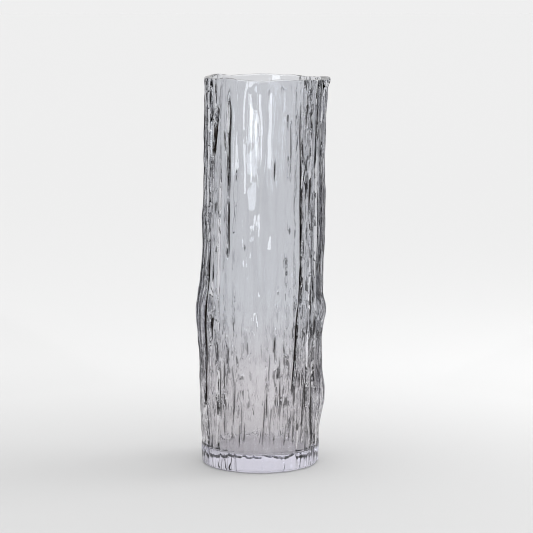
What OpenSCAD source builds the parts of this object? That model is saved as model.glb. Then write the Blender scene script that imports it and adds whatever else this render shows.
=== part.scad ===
// Cylinder vase of smoke-grey glass, blown into a mould that gives it the look of tree bark.
// The real vase is one piece of glass. The three nodes are regions of that one casting that
// meet face to face: the thick foot, the ribbed wall round the bore, and the polished lip.
// +Z is up, and the origin is the centre of the face that the vase stands on.

/* [Vase] */
// Height of the vase, from the face it stands on to the top of the lip
vase_h = 300; // [200:10:400]
// Diameter over the bark's highest ribs, before the swells of the trunk
vase_d = 95; // [80:1:130]
// Thickness of the glass under the inner floor
floor_t = 13; // [10:1:20]
// Thickness of the glass left under the bark's grooves, round the bore
wall_t = 3.6; // [2.6:0.1:5]
// Angle by which the handmade body leans towards +X, in degrees
lean = 0.8; // [0:0.1:1]

/* [Bark] */
// Number of ribs round the vase
rib_count = 40; // [24:1:48]
// Height of the tallest rib above a bare wall
rib_h = 2.2; // [1:0.1:3]
// How far the ribs wander sideways as they climb, in degrees round the vase
rib_wander = 0.9; // [0:0.1:2]
// How much of its height the bark loses at the lip and at the foot, as a share
calm_share = 0.6; // [0:0.05:0.8]
// How much slimmer the wall is drawn in at the foot
foot_taper = 1.6; // [0:0.1:1.8]

/* [Foot and lip] */
// Radius of the rounded heel, between the wall and the face that the vase stands on
heel_r = 2.5; // [2:0.5:8]
// Height of the smooth lip above the ribbed wall
lip_h = 4; // [3:0.5:6]
// Radius that rounds the lip inside and outside
lip_r = 1.4; // [0.8:0.1:1.5]
// Height of the waves along the top of the lip
lip_wave_h = 0.9; // [0:0.1:1]

/* [Surface] */
// Points round the bark for each rib
points_per_rib = 4; // [3:1:5]
// Number of steps up the wall
wall_steps = 22; // [16:2:30]

/* [Hidden] */

bore_r = vase_d / 2 - rib_h - wall_t; // smooth inside of the vase
wall_top = vase_h - lip_h;
sides = rib_count * points_per_rib;
rib_pitch = 360 / rib_count;
first_rib = 0.7;                      // where the first rib stands, as a share of a pitch from +X
rib_scatter = 0.3;                    // how unevenly the ribs are spread, as a share of the pitch
still_half = 32;                      // half-width of the still ribs at the +X and -X sides
still_fade = 20;                      // and the angle over which the wandering dies away there
calm_top = 10;                        // height over which the bark dies away under the lip
calm_foot = 30;                       // and over which it grows above the heel
taper_share = 0.2;                    // share of the height over which the foot is drawn in
round_steps = 4;                      // steps round the heel and round the lip
round_fn = 128;
cut = 1;                              // how far a cutting tool passes a face
glass = [0.70, 0.72, 0.77, 0.55];

// The slow swells of the trunk: direction, share of the height, half-width in degrees,
// half-height as a share of the height, and how far each one stands out in millimetres
swells = [
    [180, 0.39, 70, 0.14, 2.6], [180, 0.47, 50, 0.10, 0.6], [180, 0.28, 60, 0.33, 1.8],
    [180, 0.40, 50, 0.06, 0.9], [185, 0.64, 40, 0.06, 0.8], [  0, 0.40, 50, 0.06, 2.8],
    [  0, 0.18, 50, 0.09, 3.2], [355, 0.64, 45, 0.14, 1.1], [  5, 0.97, 35, 0.10, 1.2],
    [  0, 1.00, 30, 0.03, 2.0], [ 95, 0.55, 60, 0.15, 1.2], [265, 0.30, 60, 0.14, 0.8],
    [ 60, 0.22, 40, 0.10, 1.4], [130, 0.76, 40, 0.08, 1.0], [ 70, 0.85, 40, 0.07, 0.8],
];

// 1 in the middle, falling smoothly to 0 where the distance from it is 1 or more
function bump(d) = abs(d) >= 1 ? 0 : (1 + cos(180 * d)) / 2;

// A value held between two limits
function held(v, low, high) = max(low, min(high, v));

// Angle from b to a, from -180 to 180
function turn(a, b) = (a - b + 540) % 360 - 180;

// A number from 0 to 1 that looks random, but is always the same for the same i and k
function scatter(i, k) = let (v = sin(i * 137 + k * 71 + 13) * 1000) v - floor(v);

// Sum of the swells at angle a and height z
function swell(a, z) = [
    for (s = swells) s[4] * bump(turn(a, s[0]) / s[2]) * bump((z / vase_h - s[1]) / s[3])
] * [for (s = swells) 1];

// How much a rib at angle a wanders: 1 at the front and back, 0 at the still sides
function wander(a) =
    held(1 - (still_half - min(abs(turn(a, 0)), abs(turn(a, 180)))) / still_fade, 0, 1);

// One rib of round section: its middle wanders with the height z, and its height rises and falls
function rib(i, a, z) =
    let (
        start = (i + first_rib + rib_scatter * (scatter(i, 1) - 0.5)) * rib_pitch,
        sway = rib_wander * wander(start),
        middle = start
            + sway * sin((2 + 1.5 * scatter(i, 2)) * z + 360 * scatter(i, 3))
            + 0.35 * sway * sin((9 + 6 * scatter(i, 4)) * z + 360 * scatter(i, 5)),
        half_width = rib_pitch * (0.54 + 0.16 * scatter(i, 6)),
        height = 0.60 + 0.25 * scatter(i, 7)
            + 0.15 * wander(start) * sin((2 + 3 * scatter(i, 8)) * z + 360 * scatter(i, 9)),
        across = turn(a, middle) / half_width
    )
    height * sqrt(max(0, 1 - across * across));

// Height of the bark over a bare wall: the ribs lie side by side and meet in creases
function bark(a, z) =
    let (
        share = max([for (i = [0 : rib_count - 1]) rib(i, a, z)]),
        calm = min(held((vase_h - z) / calm_top, 1 - calm_share, 1),
                   held(1 - calm_share + z / calm_foot, 0, 1)),
        middle = 0.8
    )
    rib_h * (middle + (share - middle) * calm);

// Radius of the outside at angle a and height z
function outside_r(a, z) = bore_r + wall_t + bark(a, z) + swell(a, z)
    - foot_taper * (1 - held(z / vase_h / taper_share, 0, 1));

// How far the heel or the lip is rounded in, at a distance h from its end
function rounding(h, r) = h >= r ? 0 : r - sqrt(r * r - (r - h) * (r - h));

// Waves along the top of the lip
function lip_wave(a) = lip_wave_h * (0.5 * sin(5 * a + 30) + 0.3 * sin(8 * a) + 0.2 * sin(13 * a));

// One closed solid through a ring of bark at each height z. For each ring, inset draws it in,
// square says how squarely it stands to the leaning axis (0 is level) and lift how much of the
// lip's waves it has.
module bark_solid(heights, inset, square, lift) {
    last = len(heights) - 1;
    rings = [for (k = [0 : last]) for (i = [0 : sides - 1])
        let (
            a = 360 * i / sides,
            z = heights[k],
            across = (outside_r(a, z) - inset[k]) * cos(a)
        )
        [
            across + z * tan(lean),
            (outside_r(a, z) - inset[k]) * sin(a),
            z + lift[k] * lip_wave(a) - square[k] * across * tan(lean)
        ]];
    low = len(rings);
    ends = [for (z = [heights[0], heights[last]]) [z * tan(lean), 0, z]];
    side_faces = [for (k = [0 : last - 1]) for (i = [0 : sides - 1])
        let (p = k * sides + i, q = k * sides + (i + 1) % sides)
        each [[p, p + sides, q], [q, p + sides, q + sides]]];
    end_faces = [for (i = [0 : sides - 1])
        let (j = (i + 1) % sides, top = last * sides)
        each [[i, j, low], [top + j, top + i, low + 1]]];
    polyhedron(concat(rings, ends), concat(side_faces, end_faces));
}

// The bore, a true cylinder along the leaning axis
module bore() {
    rotate([0, lean, 0]) cylinder(h = vase_h + 10 * cut, r = bore_r, $fn = round_fn);
}

// Tool that rounds the inner edge of the lip
module mouth_rounding() {
    rotate([0, lean, 0]) translate([0, 0, vase_h - lip_r]) rotate_extrude($fn = round_fn)
        difference() {
            translate([bore_r - cut, 0]) square([lip_r + cut, lip_r + cut]);
            translate([bore_r + lip_r, 0]) circle(r = lip_r, $fn = round_fn);
        }
}

module foot() {
    heel = [for (k = [0 : round_steps]) heel_r * (1 - cos(90 * k / round_steps))];
    heights = concat([-cut], heel, [floor_t]);
    inset = [for (z = heights) rounding(max(z, 0), heel_r)];
    square = [for (z = heights) max(z, 0) / floor_t];
    color(glass) difference() {
        bark_solid(heights, inset, square, 0 * heights);
        translate([0, 0, -2 * cut]) cylinder(h = 2 * cut, r = vase_d);
    }
}

module wall() {
    heights = [for (k = [0 : wall_steps]) floor_t + (wall_top - floor_t) * k / wall_steps];
    color(glass) difference() {
        bark_solid(heights, 0 * heights, [for (z = heights) 1], 0 * heights);
        bore();
    }
}

module lip() {
    crown = [for (k = [0 : round_steps]) vase_h - lip_r * (1 - sin(90 * k / round_steps))];
    heights = concat([wall_top], crown);
    inset = [for (z = heights) rounding(vase_h - z, lip_r)];
    lift = [for (z = heights) (z - wall_top) / lip_h];
    color(glass) difference() {
        bark_solid(heights, inset, [for (z = heights) 1], lift);
        bore();
        mouth_rounding();
    }
}

foot();
wall();
lip();
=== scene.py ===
# Glass cylinder vase with a tree-bark relief, standing on a plain pale sweep.
# Metres, in the CAD's frame: +Z up, the camera on the -Y side, +X to its right.
import math

import bpy
import numpy as np
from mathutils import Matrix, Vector, noise


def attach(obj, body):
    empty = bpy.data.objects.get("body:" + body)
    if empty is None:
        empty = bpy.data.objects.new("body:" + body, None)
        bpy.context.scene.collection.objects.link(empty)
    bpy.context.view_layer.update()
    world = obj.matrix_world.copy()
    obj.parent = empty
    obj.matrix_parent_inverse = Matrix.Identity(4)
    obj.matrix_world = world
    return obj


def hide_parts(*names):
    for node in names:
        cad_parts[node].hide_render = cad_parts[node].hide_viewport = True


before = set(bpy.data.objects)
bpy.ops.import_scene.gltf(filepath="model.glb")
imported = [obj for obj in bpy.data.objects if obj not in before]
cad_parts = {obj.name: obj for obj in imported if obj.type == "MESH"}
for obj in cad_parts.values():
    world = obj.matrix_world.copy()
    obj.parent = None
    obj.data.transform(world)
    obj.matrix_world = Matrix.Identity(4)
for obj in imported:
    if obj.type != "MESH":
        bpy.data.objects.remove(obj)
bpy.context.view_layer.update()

# ---- sizes of the vase, the same as the CAD's ----------------------------------------------------

VASE_H = 0.300
CREST_R = 0.0475
WALL_T = 0.0036
FLOOR_T = 0.013
HEEL_R = 0.0025
LIP_H = 0.004
LIP_R = 0.0014
LIP_WAVE = 0.0009
LEAN = math.tan(math.radians(0.8))
# how far the foot is drawn in, and the share of the height over which it is
TAPER, TAPER_SHARE = 0.0016, 0.2
RIB_COUNT = 40
RIB_H = 0.0022
BORE_R = CREST_R - RIB_H - WALL_T

# ---- the bark, close to the CAD's but finer --------------------------------------------------------

# where the first rib stands and how unevenly the ribs are spread, as shares of their spacing, and
# how far they sway and tremble sideways, in degrees
RIB_SHIFT, RIB_SCATTER = 0.71, 0.3
RIB_SWAY, RIB_TREMBLE = 0.9, 0.3

# how narrow the creases between ribs are, and how dark the painted shade in them is next to a cleft's
CREASE_WIDTH = 0.04
CREASE_PAINTED_SHADE = 0.10

# the rounded edge of the inner floor, which the CAD's bore doesn't have
FLOOR_FILLET = 0.004

# degrees between points at the front, where most clefts are, and elsewhere, and the numbers of rings
FINE_FROM, FINE_TO = 200, 340
FINE_STEP, COARSE_STEP = 0.45, 1.1
WALL_RINGS, BORE_RINGS, HEEL_RINGS, ARC_RINGS = 150, 10, 8, 6


def wave(turns):
    """Sine of a value given in degrees."""
    return np.sin(np.radians(turns))


def bump(d):
    """1 in the middle, falling smoothly to 0 where d is 1 or more."""
    return np.where(np.abs(d) >= 1, 0.0, (1 + np.cos(np.pi * d)) / 2)


def scatter(i, k):
    """A number from 0 to 1 that looks random but is always the same for i and k."""
    v = math.sin(math.radians(i * 137 + k * 71 + 13)) * 1000
    return v - math.floor(v)


def turn(a, b):
    """Angle from b to a, from -180 to 180."""
    return (a - b + 540) % 360 - 180


def calm_side(a):
    """1 at the front and the back, where the bark is smoothest, 0 at the sides."""
    return np.maximum(bump(turn(a, 270) / 48), bump(turn(a, 90) / 48)) ** 0.5


def edge_side(a):
    """1 at the left and the right, where the ribs run straight and clean, 0 at the front and back."""
    return np.clip(1.6 - np.minimum(np.abs(turn(a, 180)), np.abs(turn(a, 0))) / 20, 0, 1)


# direction, share of the height, half-width in degrees, half-height as a share, millimetres out
SWELLS = [
    (180, 0.39, 70, 0.14, 2.6), (180, 0.47, 50, 0.10, 0.6), (180, 0.28, 60, 0.33, 1.8),
    (180, 0.40, 50, 0.06, 0.9), (185, 0.64, 40, 0.06, 0.8), (0, 0.40, 50, 0.06, 2.8),
    (0, 0.18, 50, 0.09, 3.2), (355, 0.64, 45, 0.14, 1.1), (5, 0.97, 35, 0.10, 1.2),
    (0, 1.00, 30, 0.03, 2.0), (95, 0.55, 60, 0.15, 1.2), (265, 0.30, 60, 0.14, 0.8),
    (60, 0.22, 40, 0.10, 1.4), (130, 0.76, 40, 0.08, 1.0), (70, 0.85, 40, 0.07, 0.8),
]

# the long clefts: direction at the top and at the bottom, low and high share of the height,
# half-width and depth in millimetres
LONG_CLEFTS = [
    (305, 310, 0.50, 0.95, 1.2, 2.0), (310, 300, 0.20, 0.55, 1.3, 2.0), (235, 235, 0.70, 0.95, 1.1, 1.8),
    (235, 235, 0.55, 0.70, 1.1, 2.0), (280, 280, 0.75, 0.80, 0.8, 1.6), (295, 295, 0.75, 0.90, 0.6, 1.3),
    (210, 210, 0.70, 1.00, 1.6, 1.6), (220, 215, 0.80, 0.90, 1.6, 1.6), (210, 205, 0.15, 0.70, 1.3, 1.4),
    (200, 195, 0.10, 0.70, 1.4, 1.2), (330, 330, 0.85, 1.00, 1.4, 1.8), (340, 345, 0.80, 1.00, 1.8, 1.8),
    (200, 200, 0.60, 1.00, 1.6, 1.6), (190, 190, 0.10, 0.95, 1.6, 1.4), (350, 350, 0.10, 0.90, 1.6, 1.4),
    (320, 325, 0.40, 0.70, 0.7, 1.2), (330, 335, 0.40, 0.75, 0.9, 1.2), (325, 330, 0.05, 0.25, 1.3, 1.6),
]

# patches of short clefts: how many, from and to direction, low and high share of the height, and
# half-width in millimetres
CLEFT_PATCHES = [
    (16, 222, 258, 0.06, 0.36, 0.5), (18, 270, 308, 0.06, 0.40, 0.5), (9, 312, 345, 0.06, 0.45, 1.0),
    (7, 205, 228, 0.06, 0.45, 1.0), (5, 315, 345, 0.60, 0.98, 0.9), (4, 212, 232, 0.60, 0.98, 0.7),
]
CLEFT_SEED = 305
CLEFT_WIGGLE = 0.3
# shortest of them and how much longer they get, as shares of the height, slant in degrees and depth in mm
SHORT_LEAST, SHORT_MORE, SHORT_SLANT, SHORT_DEPTH = 0.03, 0.10, 4, 1.6
# a cleft's dark bed, painted shade: its width next to the cleft's, how soft its edge is, and the depth at
# which the painted shade is black
BED_SHARE, BED_SOFT, BLACK_DEPTH = 0.85, 0.3, 1.4

# small raised drops: first direction and spread, low share of the height and spread, sizes in mm
DROP_COUNT = 22
DROP_SEED = 240
DROP_FROM, DROP_ACROSS = 236, 72
DROP_LOW, DROP_UP = 0.12, 0.50
DROP_HALF_W, DROP_HALF_H, DROP_OUT = 3.0, 5, 0.55


def short_clefts():
    """Short, nearly upright clefts, scattered over each patch by a rule."""
    found = []
    for p, (count, start, end, low, high, half_w) in enumerate(CLEFT_PATCHES):
        for i in range(count):
            pick = [scatter(i, CLEFT_SEED + 7 * p + q) for q in range(5)]
            length = SHORT_LEAST + SHORT_MORE * pick[0] ** 2
            at = start + (end - start) * (i + pick[1]) / count
            foot = low + (high - low - length) * pick[2]
            slanted = at + SHORT_SLANT * (pick[3] - 0.5)
            found.append((at, slanted, foot, foot + length, half_w * (0.7 + 0.6 * pick[4]), SHORT_DEPTH))
    return found


ALL_CLEFTS = LONG_CLEFTS + short_clefts()


def swell(a, z):
    """How far the slow swells of the trunk stand out."""
    total = 0
    for at, share, half_a, half_z, height in SWELLS:
        total = total + height / 1000 * bump(turn(a, at) / half_a) * bump((z / VASE_H - share) / half_z)
    return total


def ribs(a, z):
    """Round ribs, side by side, that meet in narrow creases and soften in the calm parts, and a
    map of how near the crease each point is."""
    zm = z * 1000
    pitch = 360 / RIB_COUNT
    share = z / VASE_H
    soft = calm_side(a) * np.clip((share - 0.12) / 0.15, 0, 1) * np.clip((0.99 - share) / 0.12, 0, 1)
    best = np.zeros(np.broadcast(a, z).shape)
    second = best
    for i in range(RIB_COUNT):
        centre = (i + RIB_SHIFT + RIB_SCATTER * (scatter(i, 1) - 0.5)) * pitch
        wander = 1 - edge_side(centre)
        centre = centre + RIB_SWAY * wander * wave((2.0 + 1.5 * scatter(i, 2)) * zm + 360 * scatter(i, 3))
        centre = centre + RIB_TREMBLE * wander * wave((9 + 6 * scatter(i, 4)) * zm + 360 * scatter(i, 5))
        width = pitch * (0.54 + 0.16 * scatter(i, 6))
        height = 0.60 + 0.25 * scatter(i, 7)
        height = height + 0.15 * wander * wave((2 + 3 * scatter(i, 8)) * zm + 360 * scatter(i, 9))
        across = turn(a, centre) / width
        round_rib = np.sqrt(np.maximum(0, 1 - across ** 2))
        soft_rib = 0.55 + 0.45 * bump(across)
        rib = height * (round_rib + (soft_rib - round_rib) * soft)
        second = np.maximum(second, np.minimum(best, rib))
        best = np.maximum(best, rib)
    return RIB_H * best, np.exp(-(best - second) / CREASE_WIDTH)


def clefts(a, z):
    """Depth of the clefts, and the shade painted into their beds."""
    zm = z * 1000
    depth_map, shade_paint = 0 * a, 0 * a
    for top, bottom, low, high, half_w, depth in ALL_CLEFTS:
        share = (z / VASE_H - low) / (high - low)
        if 0 < share < 1:
            along = math.sqrt(4 * share * (1 - share))
            at = bottom + (top - bottom) * share
            side = np.radians(turn(a, at)) * CREST_R * 1000 - CLEFT_WIGGLE * wave(7 * zm + bottom * 3)
            depth_map = np.maximum(depth_map, depth / 1000 * along * bump(side / (2 * half_w)) ** 1.5)
            # painted shade: a dark bed down the middle of the cleft, blacker the deeper the cleft
            bed = np.clip((BED_SHARE * half_w * along - np.abs(side)) / BED_SOFT + 0.5, 0, 1)
            shade_paint = np.maximum(shade_paint, min(1.0, depth / BLACK_DEPTH) ** 1.5 * bed)
    return depth_map, shade_paint


def drop_relief(a, z):
    """Height of the small drops, scattered over the front, that stand out and catch the light."""
    total = 0 * a
    for i in range(DROP_COUNT):
        at = DROP_FROM + DROP_ACROSS * (i + scatter(i, DROP_SEED)) / DROP_COUNT
        share = DROP_LOW + DROP_UP * scatter(i, DROP_SEED + 1)
        half_h = DROP_HALF_H + 4 * scatter(i, DROP_SEED + 2)
        side = np.radians(turn(a, at)) * CREST_R * 1000 / DROP_HALF_W
        total = total + DROP_OUT / 1000 * bump(side) * bump((z / VASE_H - share) * VASE_H * 1000 / half_h)
    return total


def fine_noise(a, z, cell_w, cell_h, seed):
    """Smooth noise over the wall, from -1 to 1, in cells of the given width and height in metres."""
    shape = np.broadcast(a, z).shape
    x = np.broadcast_to(np.cos(np.radians(a)) * CREST_R / cell_w, shape)
    y = np.broadcast_to(np.sin(np.radians(a)) * CREST_R / cell_w, shape)
    up = np.broadcast_to(z / cell_h, shape)
    flat = [noise.noise(Vector((p + seed, q - seed, r + 3 * seed))) for p, q, r in
            zip(x.ravel(), y.ravel(), up.ravel())]
    return np.array(flat).reshape(shape)


# the wrinkles, in metres: depth of the creases and of the marks, and height of the soft waves and of the
# knots, each followed by the width and the height of its cells
CREASE_CELLS = (0.0004, 0.0045, 0.022)
MARK_CELLS = (0.0004, 0.0036, 0.0075)
WAVE_CELLS = (0.0003, 0.006, 0.018)
KNOT_CELLS = (0.0005, 0.020, 0.009)


def wrinkles(a, z):
    """The small wandering creases, marks and knots, busiest near the foot and at the sides."""
    low = np.clip(1.2 - z / VASE_H * 2.4, 0, 1) * np.clip((z - 0.012) / 0.012, 0, 1)
    sides = bump((np.abs(turn(a, 270)) - 44) / 14) + 0.6 * bump((np.abs(turn(a, 90)) - 46) / 16)
    depth, *cell = CREASE_CELLS
    creases = -depth * np.exp(-np.abs(fine_noise(a, z, *cell, 5.3)) / 0.10)
    creases = creases * (0.12 + 0.5 * np.maximum(low, 0.3 * sides))
    depth, *cell = MARK_CELLS
    marks = -depth * np.exp(-np.abs(fine_noise(a, z, *cell, 11.7)) / 0.16)
    marks = marks * 0.5 * np.maximum(low, 0.2 * sides)
    height, *cell = WAVE_CELLS
    soft = height * fine_noise(a, z, *cell, 2.1) * (1 - edge_side(a))
    height, *cell = KNOT_CELLS
    knots = height * fine_noise(a, z, *cell, 7.9) * edge_side(a)
    return (creases + marks + soft + knots) * np.clip(0.25 + z / 0.02, 0, 1)


def bark_r(a, z):
    """Radius of the outside, and the shade painted on the bark there, in its clefts and creases."""
    taper = TAPER * (1 - np.clip(z / VASE_H / TAPER_SHARE, 0, 1))
    calm = np.clip((VASE_H - z) / 0.010, 0.35, 1) * np.clip(0.45 + z / 0.030, 0, 1)
    rib, crease = ribs(a, z)
    cleft, shade_paint = clefts(a, z)
    relief = RIB_H * 0.8 + (rib - RIB_H * 0.8) * calm
    r = BORE_R + WALL_T + relief + swell(a, z) - taper - cleft + wrinkles(a, z) + drop_relief(a, z)
    # painted shade: black in the clefts' beds, faint in the creases between ribs
    return r, np.maximum(shade_paint, CREASE_PAINTED_SHADE * crease * calm)


def lip_wave(a):
    """The low waves along the top of the lip."""
    return LIP_WAVE * (0.5 * wave(5 * a + 30) + 0.3 * wave(8 * a) + 0.2 * wave(13 * a))


def directions():
    """Angles of the points round the vase, closer together at the front, where most clefts are."""
    fine = np.arange(FINE_FROM, FINE_TO, FINE_STEP)
    coarse = np.arange(FINE_TO - 360, FINE_FROM - COARSE_STEP / 2, COARSE_STEP)
    return np.concatenate([coarse, fine])


def quarter(first, steps):
    """Angles over a quarter turn in equal steps, from the given step on."""
    return [math.radians(90 * k / steps) for k in range(first, steps + 1)]


def vase_rings(a):
    """The rings of one closed skin, from the middle of the underside round to the inner floor, and
    the shade painted on each ring's bark."""
    rings, marks = [], []

    def ring(r, z, tilt=1.0, lift=0.0, painted_shade=0.0):
        height = z + lift * lip_wave(a)
        across = r * np.cos(np.radians(a))
        x = across + height * LEAN
        y = r * np.sin(np.radians(a))
        rings.append(np.stack([x, y, height - across * LEAN * tilt], axis=1))
        marks.append(painted_shade + 0 * a)

    def waved(z):
        return max(0.0, (z - VASE_H + LIP_H) / LIP_H)

    foot_r = bark_r(a, 0.0)[0] - HEEL_R
    for share in (0.1, 0.5, 0.8, 0.95):
        ring(foot_r * share, 0.0, 0.0)
    for t in quarter(0, HEEL_RINGS):
        z = HEEL_R * (1 - math.cos(t))
        ring(bark_r(a, z)[0] - HEEL_R * (1 - math.sin(t)), z, z / FLOOR_T)
    top = VASE_H - LIP_R
    for k in range(1, WALL_RINGS + 1):
        z = HEEL_R + (top - HEEL_R) * k / WALL_RINGS
        # the radius here, and the shade painted on the bark
        r, painted_shade = bark_r(a, z)
        ring(r, z, min(1.0, z / FLOOR_T), waved(z), painted_shade)
    edge = bark_r(a, VASE_H)[0]
    for t in quarter(1, ARC_RINGS):
        ring(edge - LIP_R * (1 - math.cos(t)), top + LIP_R * math.sin(t), 1.0, 1.0)
    for t in quarter(0, ARC_RINGS):
        ring(BORE_R + LIP_R * (1 - math.sin(t)), top + LIP_R * math.cos(t), 1.0, 1.0)
    for k in range(1, BORE_RINGS + 1):
        z = top + (FLOOR_T + FLOOR_FILLET - top) * k / BORE_RINGS
        ring(BORE_R, z, 1.0, waved(z))
    for t in quarter(1, ARC_RINGS):
        ring(BORE_R - FLOOR_FILLET * (1 - math.cos(t)), FLOOR_T + FLOOR_FILLET * (1 - math.sin(t)))
    for share in (0.8, 0.5, 0.2):
        ring(BORE_R * share + 0 * a, FLOOR_T)
    return np.concatenate(rings), np.concatenate(marks), len(rings)


def make_vase():
    """The whole vase as one closed mesh, with the shade painted on its bark, in clefts and creases, as a
    point attribute.
    """
    a = directions()
    n = len(a)
    verts, marks, count = vase_rings(a)
    i = np.arange(n)
    j = (i + 1) % n
    quads = []
    for k in range(count - 1):
        quads.append(np.stack([k * n + i, k * n + j, (k + 1) * n + j, (k + 1) * n + i], axis=1))
    faces = np.concatenate(quads).tolist()
    faces.append([int(v) for v in i[::-1]])
    faces.append([int(v) for v in (count - 1) * n + i])
    mesh = bpy.data.meshes.new("vase_glass")
    mesh.from_pydata(verts.tolist(), [], faces)
    # the painted shade of the clefts and creases, kept on the points for the glass's colour
    mesh.attributes.new("painted_shade", "FLOAT", "POINT").data.foreach_set("value", marks.astype(np.float32))
    mesh.validate()
    mesh.shade_smooth()
    vase = bpy.data.objects.new("vase_glass", mesh)
    bpy.context.scene.collection.objects.link(vase)
    return vase


def math_node(nodes, links, operation, *values):
    """The output of a Math node whose inputs are each a socket or a number."""
    node = nodes.new("ShaderNodeMath")
    node.operation = operation
    for socket, value in zip(node.inputs, values):
        if isinstance(value, (int, float)):
            socket.default_value = value
        else:
            links.new(value, socket)
    return node.outputs[0]


def ramp_node(nodes, links, value, low, high, to_low=0.0, to_high=1.0):
    """The value taken smoothly from to_low to to_high as it goes from low to high."""
    node = nodes.new("ShaderNodeMapRange")
    node.interpolation_type = "SMOOTHSTEP"
    links.new(value, node.inputs["Value"])
    for name, number in (("From Min", low), ("From Max", high), ("To Min", to_low), ("To Max", to_high)):
        node.inputs[name].default_value = number
    return node.outputs["Result"]


def glass_material():
    """Clear smoke-grey glass, with a painted bluish cast higher up and painted shade, nearly black, in its
    clefts, creases and upright dashes.
    """
    mat = bpy.data.materials.new("smoke_glass")
    mat.use_nodes = True
    nodes, links = mat.node_tree.nodes, mat.node_tree.links
    shader = nodes["Principled BSDF"]
    shader.inputs["Transmission Weight"].default_value = 1.0
    shader.inputs["IOR"].default_value = 1.5
    shader.inputs["Roughness"].default_value = 0.0
    place = nodes.new("ShaderNodeTexCoord").outputs["Object"]
    split = nodes.new("ShaderNodeSeparateXYZ")
    links.new(place, split.inputs[0])
    across, up = math_node(nodes, links, "ABSOLUTE", split.outputs["X"]), split.outputs["Z"]

    # painted shade: dark upright dashes, in bands at the sides and low down, with a small bump from the same
    # noise
    stretch = nodes.new("ShaderNodeMapping")
    stretch.inputs["Scale"].default_value = (340, 340, 50)
    links.new(place, stretch.inputs["Vector"])
    dashes = nodes.new("ShaderNodeTexNoise")
    dashes.inputs["Scale"].default_value = 1.0
    dashes.inputs["Detail"].default_value = 1.0
    links.new(stretch.outputs[0], dashes.inputs["Vector"])
    patches = nodes.new("ShaderNodeTexNoise")
    patches.inputs["Scale"].default_value = 70
    patches.inputs["Detail"].default_value = 0.0
    links.new(place, patches.inputs["Vector"])
    sides = math_node(nodes, links, "MULTIPLY", ramp_node(nodes, links, across, 0.030, 0.033),
                      ramp_node(nodes, links, across, 0.038, 0.041, 1.0, 0.0))
    low = math_node(nodes, links, "MULTIPLY", ramp_node(nodes, links, across, 0.002, 0.015, 0.3, 1.0),
                    ramp_node(nodes, links, up, 0.06, 0.15, 1.0, 0.0))
    where = math_node(nodes, links, "MAXIMUM", sides, low)
    where = math_node(nodes, links, "MULTIPLY", where, ramp_node(nodes, links, up, 0.018, 0.030))
    patchy = ramp_node(nodes, links, patches.outputs["Fac"], 0.42, 0.48)
    where = math_node(nodes, links, "MULTIPLY", where, patchy)
    level = math_node(nodes, links, "SUBTRACT", dashes.outputs["Fac"], 0.56)
    # painted shade: thin dark lines where the stretched noise crosses one level
    dash_shade = ramp_node(nodes, links, level, 0.06, 0.09)
    dash_shade = math_node(nodes, links, "MULTIPLY", dash_shade, math_node(nodes, links, "MULTIPLY", where, 0.95))
    bark = nodes.new("ShaderNodeBump")
    bark.inputs["Distance"].default_value = 0.0005
    raised = ramp_node(nodes, links, level, -0.06, 0.06)
    links.new(math_node(nodes, links, "MULTIPLY", raised, where), bark.inputs["Height"])
    links.new(bark.outputs[0], shader.inputs["Normal"])

    # the tint: the glass's own smoke grey, greyer and a little darker near the foot, with a painted bluish
    # cast higher up for the bluish light the glass shows there, and painted shade, nearly black, in clefts,
    # creases and dashes
    tint = nodes.new("ShaderNodeMix")
    tint.data_type = "RGBA"
    tint.inputs["A"].default_value = (0.83, 0.815, 0.83, 1)
    tint.inputs["B"].default_value = (0.818, 0.828, 0.851, 1)
    links.new(ramp_node(nodes, links, up, 0.05, 0.13), tint.inputs["Factor"])
    # the painted shade of the clefts and creases, from the vase's point attribute
    marks = nodes.new("ShaderNodeAttribute")
    marks.attribute_name = "painted_shade"
    # mixes in the painted shade, nearly black, over the tint
    shade_paint = nodes.new("ShaderNodeMix")
    shade_paint.data_type = "RGBA"
    shade_paint.inputs["B"].default_value = (0.0010, 0.0006, 0.0004, 1)
    links.new(tint.outputs["Result"], shade_paint.inputs["A"])
    links.new(math_node(nodes, links, "MAXIMUM", marks.outputs["Fac"], dash_shade), shade_paint.inputs["Factor"])
    links.new(shade_paint.outputs["Result"], shader.inputs["Base Color"])

    smoke = nodes.new("ShaderNodeVolumeAbsorption")
    smoke.inputs["Color"].default_value = (0.30, 0.30, 0.70, 1)
    smoke.inputs["Density"].default_value = 3
    links.new(smoke.outputs[0], nodes["Material Output"].inputs["Volume"])
    return mat


def make_stage():
    """A pale paper floor, with painted shade that darkens it round the vase, most just in front of it."""
    mesh = bpy.data.meshes.new("paper_floor")
    half, below = 14.0, -0.0002
    mesh.from_pydata([(-half, -half, below), (half, -half, below), (half, half, below), (-half, half, below)],
                     [], [(0, 1, 2, 3)])
    floor = bpy.data.objects.new("paper_floor", mesh)
    bpy.context.scene.collection.objects.link(floor)
    mat = bpy.data.materials.new("pale_paper")
    mat.use_nodes = True
    nodes, links = mat.node_tree.nodes, mat.node_tree.links
    shader = nodes["Principled BSDF"]
    shader.inputs["Roughness"].default_value = 0.9
    shader.inputs["Specular IOR Level"].default_value = 0.1
    place = nodes.new("ShaderNodeTexCoord").outputs["Object"]
    spread = nodes.new("ShaderNodeVectorMath")
    spread.operation = "MULTIPLY_ADD"
    spread.inputs[1].default_value = (0.5, 1, 0)
    spread.inputs[2].default_value = (0, 0.15, 0)
    links.new(place, spread.inputs[0])
    length = nodes.new("ShaderNodeVectorMath")
    length.operation = "LENGTH"
    links.new(spread.outputs["Vector"], length.inputs[0])
    shade_distance = length.outputs["Value"]
    # painted shade: the paper is darker near the vase, most just in front of it
    links.new(ramp_node(nodes, links, shade_distance, 0.10, 0.60, 0.60, 0.725), shader.inputs["Base Color"])
    floor.data.materials.append(mat)


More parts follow.
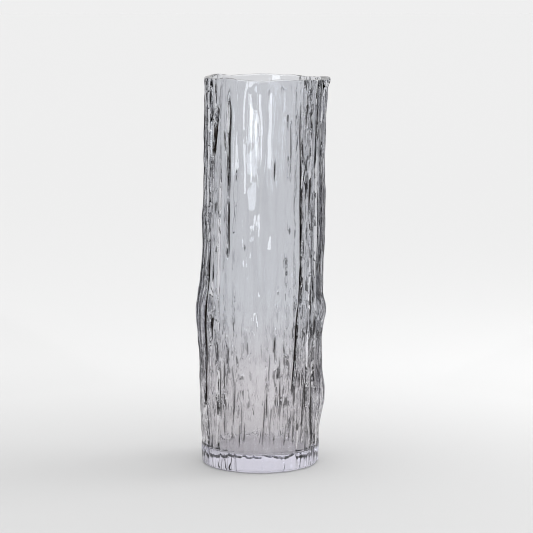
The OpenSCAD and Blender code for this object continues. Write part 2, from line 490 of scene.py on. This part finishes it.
def add_card(name, verts, faces, glossy):
    """A card that only the glass sees, in its reflections if glossy or else through it."""
    mesh = bpy.data.meshes.new(name)
    mesh.from_pydata(verts, [], faces)
    card = bpy.data.objects.new(name, mesh)
    bpy.context.scene.collection.objects.link(card)
    mat = bpy.data.materials.new(name)
    mat.use_nodes = True
    card.data.materials.append(mat)
    card.visible_camera = card.visible_diffuse = card.visible_shadow = False
    card.visible_glossy, card.visible_transmission = glossy, not glossy
    return mat.node_tree.nodes["Principled BSDF"]


def dark_card(name, verts, faces, glossy):
    """A black card that only the glass sees."""
    shader = add_card(name, verts, faces, glossy)
    shader.inputs["Base Color"].default_value = (0.02, 0.017, 0.015, 1)
    shader.inputs["Roughness"].default_value = 0.9
    shader.inputs["Specular IOR Level"].default_value = 0.0


def swept(profile, angles):
    """Vertices and faces of a strip: the profile's (radius, height) points turned through the angles."""
    verts, faces = [], []
    for t in angles:
        verts += [(r * math.cos(math.radians(t)), r * math.sin(math.radians(t)), z) for r, z in profile]
    n = len(profile)
    for k in range(len(angles) - 1):
        faces += [(k * n + q, k * n + q + 1, (k + 1) * n + q + 1, (k + 1) * n + q) for q in range(n - 1)]
    return verts, faces


# from and to direction of the dark cards that stand round the vase, in degrees
FLAGS = [(0, 25), (64, 68), (154, 159)]
FLAG_STEP = 4
FLAG_PROFILE = [(0.14, 0.001), (0.5, 0.001), (0.5, 0.6)]
# the dark room in the reflections, open behind the vase
ROOM_PROFILE = [(0.35, 0.002), (3.0, 0.002), (3.0, 1.6)]
ROOM_FROM, ROOM_STEP, ROOM_STEPS = 112, 8, 40
# the glowing disc under the foot, painted light in place of the lit paper seen through it
BOUNCE_PROFILE = [(0.001, -0.0001), (0.05, -0.0001)]
BOUNCE_STEP, BOUNCE_STEPS = 7.5, 49


def make_flags():
    """Dark cards round the vase, as a photographer sets for glass, and the dark room it reflects."""
    verts, faces = [], []
    for start, end in FLAGS:
        steps = max(2, round((end - start) / FLAG_STEP))
        v, f = swept(FLAG_PROFILE, [start + (end - start) * q / steps for q in range(steps + 1)])
        faces += [tuple(i + len(verts) for i in face) for face in f]
        verts += v
    dark_card("flags", verts, faces, False)
    room = swept(ROOM_PROFILE, [ROOM_FROM + ROOM_STEP * q for q in range(ROOM_STEPS)])
    dark_card("dark_room", *room, True)


def make_bounce():
    """A glowing card under the vase that only the glass sees through its foot: painted light in place of the
    lit paper there.
    """
    verts, faces = swept(BOUNCE_PROFILE, [BOUNCE_STEP * q for q in range(BOUNCE_STEPS)])
    shader = add_card("bounce", verts, faces, False)
    # painted light: the card glows, though it is no lamp
    shader.inputs["Emission Color"].default_value = (0.86, 0.86, 0.90, 1)
    shader.inputs["Emission Strength"].default_value = 0.22


def area_light(name, at, target, width, height, power):
    """A rectangular light that faces its target."""
    data = bpy.data.lights.new(name, "AREA")
    data.shape = "RECTANGLE"
    data.size, data.size_y, data.energy = width, height, power
    lamp = bpy.data.objects.new(name, data)
    lamp.location = at
    lamp.rotation_euler = (Vector(target) - Vector(at)).to_track_quat("-Z", "Y").to_euler()
    bpy.context.scene.collection.objects.link(lamp)
    return lamp


def make_world():
    """Soft white light all round, a little brighter overhead."""
    world = bpy.data.worlds.new("room")
    world.use_nodes = True
    nodes, links = world.node_tree.nodes, world.node_tree.links
    place = nodes.new("ShaderNodeTexCoord")
    split = nodes.new("ShaderNodeSeparateXYZ")
    ramp = nodes.new("ShaderNodeMapRange")
    ramp.inputs["From Min"].default_value = 0.15
    ramp.inputs["From Max"].default_value = 0.9
    ramp.inputs["To Min"].default_value = 0.865
    ramp.inputs["To Max"].default_value = 1.33
    links.new(place.outputs["Generated"], split.inputs[0])
    links.new(split.outputs["Z"], ramp.inputs["Value"])
    links.new(ramp.outputs["Result"], nodes["Background"].inputs["Strength"])
    nodes["Background"].inputs["Color"].default_value = (1, 1, 1, 1)
    bpy.context.scene.world = world


def make_lights():
    """A softbox overhead, one at the front left for the streaks, a fill for the floor and a small key."""
    overhead = area_light("overhead", (0, -0.3, 1.9), (0, 0, 0.3), 2.4, 1.6, 45)
    overhead.visible_diffuse = overhead.visible_transmission = False
    fill = area_light("floor_fill", (0.7, 0.15, 0.55), (0.13, -0.02, 0), 0.4, 0.4, 1.7)
    fill.visible_glossy = fill.visible_transmission = False
    streak = area_light("front_left", (-0.68, -1.6, 0.72), (0, 0, 0.25), 0.6, 1.4, 19)
    streak.data.color = (0.90, 0.95, 1.0)
    streak.visible_diffuse = False
    area_light("key", (-0.32, -2.4, 0.66), (0, 0, 0.2), 0.14, 0.14, 1.2)


def make_camera():
    """A long lens that looks a little down on the vase from the front."""
    distance, pitch = 1.7, 8.0
    down = math.radians(pitch)
    aim = Vector((0.005, 0, 0.1535))
    data = bpy.data.cameras.new("camera")
    data.sensor_width = 36
    data.lens = 148.2
    cam = bpy.data.objects.new("camera", data)
    cam.location = aim + Vector((0, -distance * math.cos(down), distance * math.sin(down)))
    cam.rotation_euler = (math.radians(90 - pitch), 0, 0)
    bpy.context.scene.collection.objects.link(cam)
    bpy.context.scene.camera = cam


vase = make_vase()
vase.data.materials.append(glass_material())
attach(vase, "root")
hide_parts("foot", "wall", "lip")
make_stage()
make_flags()
make_bounce()
make_world()
make_lights()
make_camera()
scene = bpy.context.scene
scene.view_settings.view_transform = "Standard"
scene.cycles.filter_width = 1.0
scene.cycles.max_bounces = 24
scene.cycles.transmission_bounces = 20
